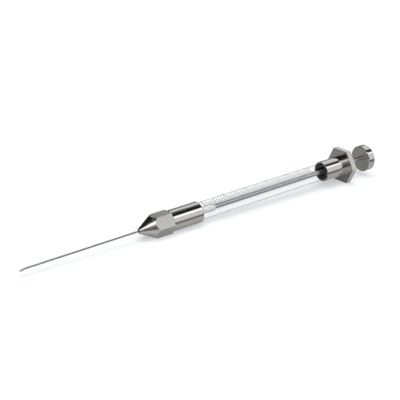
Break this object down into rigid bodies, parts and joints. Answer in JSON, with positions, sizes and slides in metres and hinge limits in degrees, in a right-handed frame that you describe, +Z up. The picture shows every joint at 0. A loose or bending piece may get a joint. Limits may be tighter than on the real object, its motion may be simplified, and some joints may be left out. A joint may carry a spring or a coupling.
{
  "type": "microsyringe",
  "caption": "Glass microlitre syringe with hexagon finger flange, steel plunger and a bent-point needle held by a hexagon nut.",
  "frame": {"origin": "on the table, under the middle of the whole length", "axes": "+X from the needle to the plunger button along the table, +Z up; the syringe axis leans nose-down by 1.69 degrees, as it rests on its flange and its needle nut"},
  "size_m": [0.1844, 0.018, 0.0157],
  "materials": {
    "clear_glass": "clear polished",
    "plated_brass": "polished nickel plate",
    "hub_steel": "turned",
    "needle_steel": "drawn and polished",
    "rod_steel": "ground",
    "white_ptfe": "smooth satin"
  },
  "bodies": {
    "barrel": {"glass_barrel": "clear_glass", "front_sleeve": "plated_brass", "flange_sleeve": "plated_brass", "needle_seal": "white_ptfe"},
    "needle": {"needle_cannula": "needle_steel", "needle_hub": "hub_steel"},
    "nut": {"needle_nut": "plated_brass"},
    "plunger": {"plunger_rod": "rod_steel", "plunger_tip": "white_ptfe", "plunger_button": "plated_brass"}
  },
  "joints": [
    {"name": "plunger_slide", "type": "slide", "parent": "barrel", "child": "plunger", "axis": [0.9996, 0, 0.0296], "range_m": [0, 0.06]},
    {"name": "needle_draw", "type": "slide", "parent": "barrel", "child": "needle", "axis": [-0.9996, 0, -0.0296], "range_m": [0, 0.0045]},
    {"name": "nut_turn", "type": "hinge", "parent": "needle", "child": "nut", "pos_m": [-0.0294, 0, 0.00473], "axis": [-0.9996, 0, -0.0296], "range_deg": [0, 2160]}
  ],
  "couplings": [
    {"joint": "nut_turn", "follows": "needle_draw", "rad_per_m": 8377.6}
  ]
}
